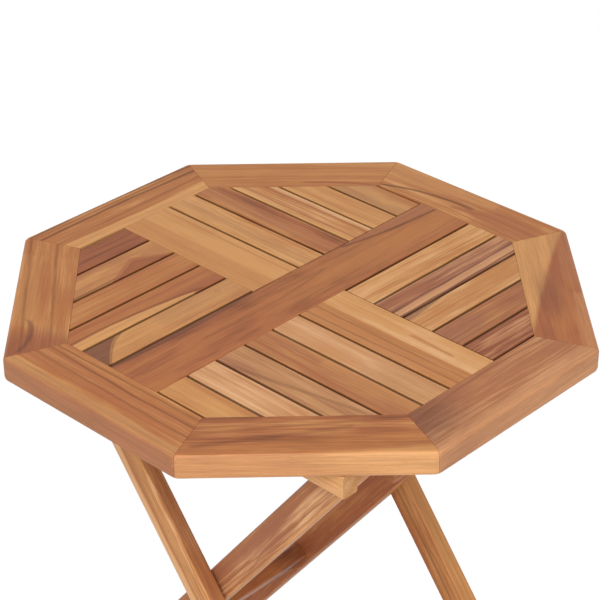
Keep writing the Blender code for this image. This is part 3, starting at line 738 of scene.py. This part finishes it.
SLATS = {
    "slat_ne_1": Board("straw", "amber", "cream", heart=(-230.0, -60.0), rings=0.6, marks=(
        strip("olive", 0.5, ((0, -60),), ((0, -46),), soft=4.0),)),
    "slat_ne_2": Board("russet", "umber", "honey", heart=(-10.0, -70.0), rings=0.8, marks=(
        strip("chestnut", 0.7, ((0, -100),), ((0, -84),), soft=3.0),)),
    "slat_ne_3": Board("honey", "russet", "cream", heart=(-320.0, -60.0), marks=(
        strip("straw", 0.8, ((0, -124),), ((0, -112),), soft=1.2),
        strip("cream", 0.6, ((0, -160),), ((0, -149),), soft=1.2),
        streak("russet", 0.7, ((40, -145), (200, -146)), 3.0),
        streak("russet", 0.5, ((40, -126), (200, -127)), 2.4))),
    "slat_ne_4": Board("honey", "amber", "straw", heart=(-330.0, -60.0), rings=0.7, marks=(
        strip("straw", 0.75, ((0, -163),), ((0, -152),), soft=1.2),
        strip("straw", 0.35, ((0, -184),), ((0, -172),), soft=4.0))),
    "slat_ne_5": Board("olive", "chestnut", "straw", heart=(-360.0, -60.0), rings=0.7, marks=(
        strip("straw", 0.4, ((0, -222),), ((0, -212),), soft=4.0),
        patch("amber", 0.7, (45, -232), (60, 11)))),
    "slat_nw_1": Board("honey", "chestnut", "straw", heart=(-60.0, -80.0), rings=0.8, marks=(
        strip("olive", 0.5, ((0, 50),), ((0, 80),), reach=(-150, -30), soft=5.0),
        strip("aubergine", 0.85, ((-231, 40), (-207, 64), (-160, 76)), ((0, 90),),
              reach=(-270, -158), soft=1.6),
        streak("umber", 0.5, ((-231, 38), (-207, 62), (-160, 74)), 2.0, reach=(-250, -168)),
        knot("chestnut", 0.5, (-60, 62), 2.0))),
    "slat_nw_2": Board("russet", "plum", "amber", heart=(300.0, -60.0), marks=(
        strip("straw", 0.92, ((0, 70),), ((-236, 91), (-150, 89), (-76, 79)),
              reach=(-270, -72), soft=1.2),
        streak("umber", 0.5, ((-236, 93), (-150, 91), (-70, 80)), 2.2, reach=(-270, -60)))),
    "slat_nw_3": Board("amber", "russet", "honey", heart=(-40.0, -60.0), rings=0.7, marks=(
        strip("russet", 0.5, ((0, 146),), ((0, 160),), soft=3.0),
        strip("russet", 0.5, ((0, 110),), ((0, 123),), soft=3.0))),
    "slat_nw_4": Board("honey", "chestnut", "straw", heart=(170.0, -50.0), rings=0.8, marks=(
        crest("russet", 0.8, (-124, 157), (-77, 181), (-34, 157)),
        crest("plum", 0.75, (-116, 157), (-77, 175), (-42, 157)),
        crest("russet", 0.6, (-108, 157), (-77, 169), (-50, 157)),
        streak("umber", 0.5, ((-190, 158), (-118, 160)), 2.0, reach=(-190, -110)))),
    "slat_nw_5": Board("plum", "umber", "russet", heart=(-10.0, -60.0), rings=0.7),
    "slat_sw_1": Board("peach", "honey", "cream", heart=(320.0, -60.0), rings=0.6, marks=(
        patch("olive", 0.6, (-205, 56), (46, 26), 0.6),)),
    "slat_sw_2": Board("chestnut", "russet", "honey", heart=(330.0, -60.0), rings=0.8, marks=(
        strip("honey", 0.5, ((0, 76),), ((0, 92),), reach=(-245, -110), soft=4.0),)),
    "slat_sw_3": Board("olive", "mauve", "peach", heart=(380.0, -60.0), rings=0.8, marks=(
        patch("mauve", 0.6, (-48, 151), (48, 12), 0.6),
        streak("aubergine", 0.35, ((-40, 156), (-110, 143), (-200, 124)), 4.0),
        strip("peach", 0.4, ((-40, 134), (-200, 116)), ((-40, 144), (-200, 124)), soft=3.0))),
    "slat_sw_4": Board("peach", "amber", "cream", heart=(400.0, -60.0), rings=0.7),
    "slat_sw_5": Board("honey", "chestnut", "straw", heart=(430.0, -60.0), rings=0.7, marks=(
        strip("amber", 0.5, ((0, 196),), ((0, 206),), soft=4.0),)),
    "slat_se_1": Board("straw", "amber", "cream", heart=(-300.0, -60.0), rings=0.9),
    "slat_se_2": Board("mauve", "plum", "peach", heart=(-340.0, -60.0), marks=(
        strip("peach", 0.85, ((40, -111), (230, -109)), ((40, -103), (230, -101)), soft=0.9),
        streak("aubergine", 0.7, ((40, -101), (230, -99)), 2.0),
        streak("aubergine", 0.7, ((40, -112.5), (230, -111)), 2.0),
        patch("plum", 0.5, (70, -88), (60, 12), 0.5))),
    "slat_se_3": Board("honey", "amber", "cream", heart=(-360.0, -60.0), rings=0.7, marks=(
        strip("aubergine", 0.6, ((36, -124), (70, -121), (104, -116)), ((0, -105),),
              reach=(0, 104)),)),
    "slat_se_4": Board("chestnut", "plum", "honey", heart=(-380.0, -60.0), marks=(
        patch("mauve", 0.7, (50, -175), (40, 18), 0.5),
        streak("umber", 0.3, ((60, -180), (200, -178)), 1.6),
        streak("umber", 0.3, ((80, -187), (200, -186)), 1.4))),
    "slat_se_5": Board("plum", "umber", "peach", heart=(-400.0, -60.0), rings=0.8),
}
TOP_SUPPORTS = {
    "batten_e": Board("honey", "amber", "cream", heart=(60.0, -80.0)),
    "batten_w": Board("straw", "honey", "cream", heart=(-70.0, 60.0), rings=0.7),
    "stop_cleat": Board("chestnut", "russet", "honey", heart=(60.0, 50.0)),
}

# Marks on the legs: along runs up from the crossing, across runs north
OUTER_FRAME = {
    "outer_leg_w": Board("honey", "chestnut", "cream", heart=(-40.0, 44.0), marks=(
        strip("cream", 0.8, ((0, 9),), ((0, 24),), soft=1.6),
        strip("plum", 0.55, ((0, -24),), ((0, -15.5),), soft=1.2),
        streak("russet", 0.5, ((-300, 4), (300, 6)), 2.4))),
    "outer_leg_e": Board("amber", "russet", "straw", heart=(50.0, 60.0), marks=(
        strip("straw", 0.6, ((0, -24),), ((0, -13),), soft=1.6),
        patch("plum", 0.5, (250, 2), (50, 16), 0.6),
        streak("umber", 0.35, ((-300, 2), (300, 5)), 2.6))),
    "outer_stretcher": Board("chestnut", "russet", "honey", heart=(70.0, 30.0)),
}
INNER_FRAME = {
    "inner_leg_w": Board("chestnut", "mauve", "cream", heart=(70.0, 40.0), marks=(
        strip("honey", 0.8, ((0, -24),), ((0, -12.5),), soft=1.6),
        patch("mauve", 0.5, (120, 4), (90, 9), 0.7))),
    "inner_leg_e": Board("russet", "plum", "honey", heart=(-60.0, 50.0), ripple=8.0, marks=(
        strip("straw", 0.35, ((0, -24),), ((0, -14),), soft=1.4),
        patch("olive", 0.6, (110, -4), (60, 12), 0.6),
        patch("plum", 0.6, (60, 12), (40, 7), 0.5))),
    "inner_top_rail": Board("chestnut", "russet", "honey", heart=(60.0, 40.0)),
    "inner_stretcher": Board("russet", "plum", "amber", heart=(60.0, 40.0), marks=(
        strip("peach", 0.6, ((-120, -26), (120, -26)), ((-120, -8), (120, -15)), soft=2.0),
        patch("aubergine", 0.8, (100, 6), (34, 18), 0.4))),
}
FITTING_KINDS = ("screw", "bolt", "nut", "pin", "spacer")


def link(thing):
    """Link a new object to the scene."""
    bpy.context.scene.collection.objects.link(thing)
    return thing


def seen_directly(shader):
    """1 on rays that show the background: from the camera, or in a mirror or a glass."""
    rays = [shader.node("ShaderNodeLightPath", {}, {}, name)
            for name in ("Is Camera Ray", "Is Glossy Ray", "Is Transmission Ray")]
    return rays[0].most(rays[1]).most(rays[2])


# Clouds on the floor to a metre, and how much they show
FLOOR_CLOUDS = 3.0
FLOOR_MOTTLE = 0.03


def floor_material(settings):
    """A white floor that keeps a share of the lamps' light, and so the table's soft shadow."""
    shader = Shader(bpy.data.materials.new("studio_floor"))
    point = shader.node("ShaderNodeTexCoord", {}, {}, "Object")
    mottle = shader.noise(shader.scale(point, FLOOR_CLOUDS), detail=3.0) - MIDDLE
    lit = shader.tree.nodes["Principled BSDF"]
    shader.set_inputs(lit, {
        "Base Color": shader.scale(tuple(settings.floor), 1.0 + mottle * FLOOR_MOTTLE),
        "Roughness": 1.0, "Specular IOR Level": 0.0})
    white = shader.node("ShaderNodeEmission", {}, {"Color": WHITE, "Strength": settings.glow})
    share = seen_directly(shader) * (1.0 - settings.shadow)
    mixed = shader.node("ShaderNodeMixShader", {},
                        {0: share, 1: Value(shader, lit.outputs["BSDF"]), 2: white})
    shader.set_inputs(shader.tree.nodes["Material Output"], {"Surface": mixed})
    return shader.owner


def build_floor(settings):
    """A square floor at the table's feet."""
    half = settings.floor_size / 2
    corners = [(-half, -half, 0.0), (half, -half, 0.0), (half, half, 0.0), (-half, half, 0.0)]
    mesh = bpy.data.meshes.new("studio_floor")
    mesh.from_pydata(corners, [], [(0, 1, 2, 3)])
    mesh.materials.append(floor_material(settings))
    floor = link(bpy.data.objects.new("studio_floor", mesh))
    floor.location.z = CAD_BOX[0][2]


def build_world(settings):
    """White where it is seen, and a plain even light everywhere else."""
    world = bpy.data.worlds.new("studio_world")
    bpy.context.scene.world = world
    shader = Shader(world)
    level = settings.ambient + seen_directly(shader) * (1.0 - settings.ambient)
    shader.set_inputs(shader.tree.nodes["Background"], {"Color": WHITE, "Strength": level})


class Lamp(NamedTuple):
    """A square lamp aimed at the top: where it stands, its size and its power in watts."""

    place: Vector
    size: float
    power: float


LAMPS = {
    "key_lamp": Lamp(Vector((-1.9, -1.5, 2.9)), 1.9, 66.0),
    "fill_lamp": Lamp(Vector((-2.6, -2.2, 0.9)), 1.6, 14.0),
}


def build_lamps():
    """Soft square lamps round the table."""
    for name, lamp in LAMPS.items():
        light = bpy.data.lights.new(name, "AREA")
        light.shape = "SQUARE"
        light.size = lamp.size
        light.energy = lamp.power
        thing = link(bpy.data.objects.new(name, light))
        thing.location = lamp.place
        thing.rotation_euler = (lamp.place - TABLE_TOP).to_track_quat("Z", "Y").to_euler()


def build_camera(settings):
    """The camera at the photograph's angle."""
    round_table, height = settings.azimuth, settings.elevation
    back = Vector((math.cos(round_table) * math.cos(height),
                   math.sin(round_table) * math.cos(height), math.sin(height)))
    right = Vector((-math.sin(round_table), math.cos(round_table), 0.0))
    upwards = back.cross(right)
    turned = Matrix((right, upwards, back)).transposed().to_4x4()
    pose = turned @ Matrix.Rotation(settings.roll, 4, "Z")
    shift = Vector((settings.aside, -settings.drop, settings.distance, 0.0))
    pose.translation = TABLE_TOP + (pose @ shift).to_3d()
    camera = link(bpy.data.objects.new("photo_camera", bpy.data.cameras.new("photo_camera")))
    camera.matrix_world = pose
    camera.data.sensor_width = SENSOR_WIDTH
    camera.data.lens = settings.lens
    bpy.context.scene.camera = camera


class GARDEN_OT_octagon(bpy.types.Operator):
    """Finish the eight mitred boards round the top"""

    bl_idname = "garden.octagon"
    bl_label = "Finish octagon boards"

    def execute(self, context):
        dress_boards(SIDE_BOARDS, side_lie)
        return {"FINISHED"}


class GARDEN_OT_rails(bpy.types.Operator):
    """Finish the main rail and the two half rails"""

    bl_idname = "garden.rails"
    bl_label = "Finish rails"

    def execute(self, context):
        dress_boards(RAILS, rail_lie, context.scene.garden_teak.painted_gap_shade)
        return {"FINISHED"}


class GARDEN_OT_slats(bpy.types.Operator):
    """Finish the slats of the four quadrants"""

    bl_idname = "garden.slats"
    bl_label = "Finish slats"

    def execute(self, context):
        dress_boards(SLATS, slat_lie, context.scene.garden_teak.painted_gap_shade)
        return {"FINISHED"}


class GARDEN_OT_supports(bpy.types.Operator):
    """Finish the battens and the stop cleat under the top"""

    bl_idname = "garden.supports"
    bl_label = "Finish battens and cleat"

    def execute(self, context):
        dress_boards(TOP_SUPPORTS, support_lie)
        return {"FINISHED"}


class GARDEN_OT_outer_frame(bpy.types.Operator):
    """Finish the outer legs and their stretcher"""

    bl_idname = "garden.outer_frame"
    bl_label = "Finish outer frame"

    def execute(self, context):
        dress_boards(OUTER_FRAME, outer_lie)
        return {"FINISHED"}


class GARDEN_OT_inner_frame(bpy.types.Operator):
    """Finish the inner legs, their rail and their stretcher"""

    bl_idname = "garden.inner_frame"
    bl_label = "Finish inner frame"

    def execute(self, context):
        dress_boards(INNER_FRAME, inner_lie)
        return {"FINISHED"}


class GARDEN_OT_fittings(bpy.types.Operator):
    """Finish screws, bolts, nuts, pins and spacers"""

    bl_idname = "garden.fittings"
    bl_label = "Finish steel fittings"

    def execute(self, context):
        plated = steel("zinc_plated_steel")
        for node in frame["nodes"]:
            if any(kind in node for kind in FITTING_KINDS):
                dress(node, plated)
        return {"FINISHED"}


class GARDEN_OT_stage(bpy.types.Operator):
    """Build the floor, the world, the lamps and the camera"""

    bl_idname = "garden.stage"
    bl_label = "Build studio"

    def execute(self, context):
        settings = context.scene.garden_stage
        build_floor(settings)
        build_world(settings)
        build_lamps()
        build_camera(settings)
        context.scene.view_settings.view_transform = "Standard"
        return {"FINISHED"}


class GARDEN_PT_table(bpy.types.Panel):
    """The steps that finish the table"""

    bl_idname = "GARDEN_PT_table"
    bl_label = "Folding garden table"
    bl_space_type = "VIEW_3D"
    bl_region_type = "UI"
    bl_category = "Garden table"

    def draw(self, context):
        for operator in OPERATORS:
            self.layout.operator(operator.bl_idname)
        for settings, group in SETTINGS.items():
            box = self.layout.box()
            for name in group.__annotations__:
                box.prop(getattr(context.scene, settings), name)


OPERATORS = (GARDEN_OT_octagon, GARDEN_OT_rails, GARDEN_OT_slats, GARDEN_OT_supports,
             GARDEN_OT_outer_frame, GARDEN_OT_inner_frame, GARDEN_OT_fittings, GARDEN_OT_stage)
SETTINGS = {"garden_teak": TeakSettings, "garden_steel": SteelSettings,
            "garden_stage": StageSettings}


def register():
    """Register the settings, the operators and the panel."""
    for kind in (*SETTINGS.values(), *OPERATORS, GARDEN_PT_table):
        bpy.utils.register_class(kind)
    for name, group in SETTINGS.items():
        setattr(bpy.types.Scene, name, bpy.props.PointerProperty(type=group))


def unregister():
    """Take everything back out."""
    for name in SETTINGS:
        delattr(bpy.types.Scene, name)
    for kind in reversed((*SETTINGS.values(), *OPERATORS, GARDEN_PT_table)):
        bpy.utils.unregister_class(kind)


def main():
    """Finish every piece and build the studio."""
    register()
    for operator in OPERATORS:
        group, step = operator.bl_idname.split(".")
        getattr(getattr(bpy.ops, group), step)()


if __name__ == "__main__":
    main()
